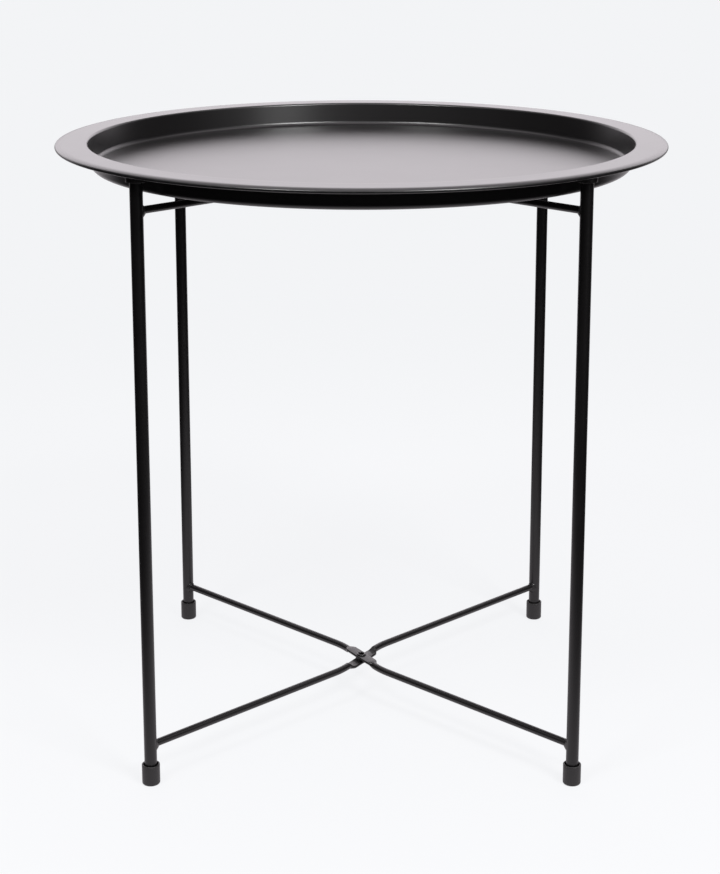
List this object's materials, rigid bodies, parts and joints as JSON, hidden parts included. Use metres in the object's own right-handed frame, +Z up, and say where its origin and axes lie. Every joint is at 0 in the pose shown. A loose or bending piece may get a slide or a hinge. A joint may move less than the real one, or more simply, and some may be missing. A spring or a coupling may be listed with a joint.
{
  "type": "folding tray table",
  "caption": "Round lift-off tray with a rolled rim on four tubular legs, joined by crossed rods that pivot on central hollow rivets to fold flat.",
  "frame": {"origin": "on the floor, on the vertical pivot axis where the two leg frames cross, which is also the tray's axis", "axes": "+Z up; +X to the right and +Y to the back as one faces the table; each leg stands at 45 degrees between them"},
  "size_m": [0.4699, 0.47, 0.4625],
  "materials": {
    "tray_paint": "satin",
    "frame_paint": "satin",
    "rivet_paint": "satin",
    "cap_plastic": "satin",
    "washer_nylon": "matte"
  },
  "bodies": {
    "frame_a": {"leg_back_left": "frame_paint", "leg_front_right": "frame_paint", "foot_cap_back_left": "cap_plastic", "foot_cap_front_right": "cap_plastic", "top_cap_back_left": "cap_plastic", "top_cap_front_right": "cap_plastic", "lower_rod_a": "frame_paint", "upper_rod_a": "frame_paint", "lower_rivet": "rivet_paint", "upper_rivet": "rivet_paint", "lower_washer": "washer_nylon", "upper_washer": "washer_nylon", "weld_beads_a": "frame_paint"},
    "frame_b": {"leg_front_left": "frame_paint", "leg_back_right": "frame_paint", "foot_cap_front_left": "cap_plastic", "foot_cap_back_right": "cap_plastic", "top_cap_front_left": "cap_plastic", "top_cap_back_right": "cap_plastic", "lower_rod_b": "frame_paint", "upper_rod_b": "frame_paint", "weld_beads_b": "frame_paint"},
    "tray": {"tray": "tray_paint"}
  },
  "joints": [
    {"name": "frame_fold", "type": "hinge", "parent": "frame_a", "child": "frame_b", "pos_m": [0, 0, 0.2], "axis": [0, 0, -1], "range_deg": [0, 86]},
    {"name": "tray_lift", "type": "slide", "parent": "frame_a", "child": "tray", "axis": [0, 0, 1], "range_m": [0, 0.06]}
  ]
}
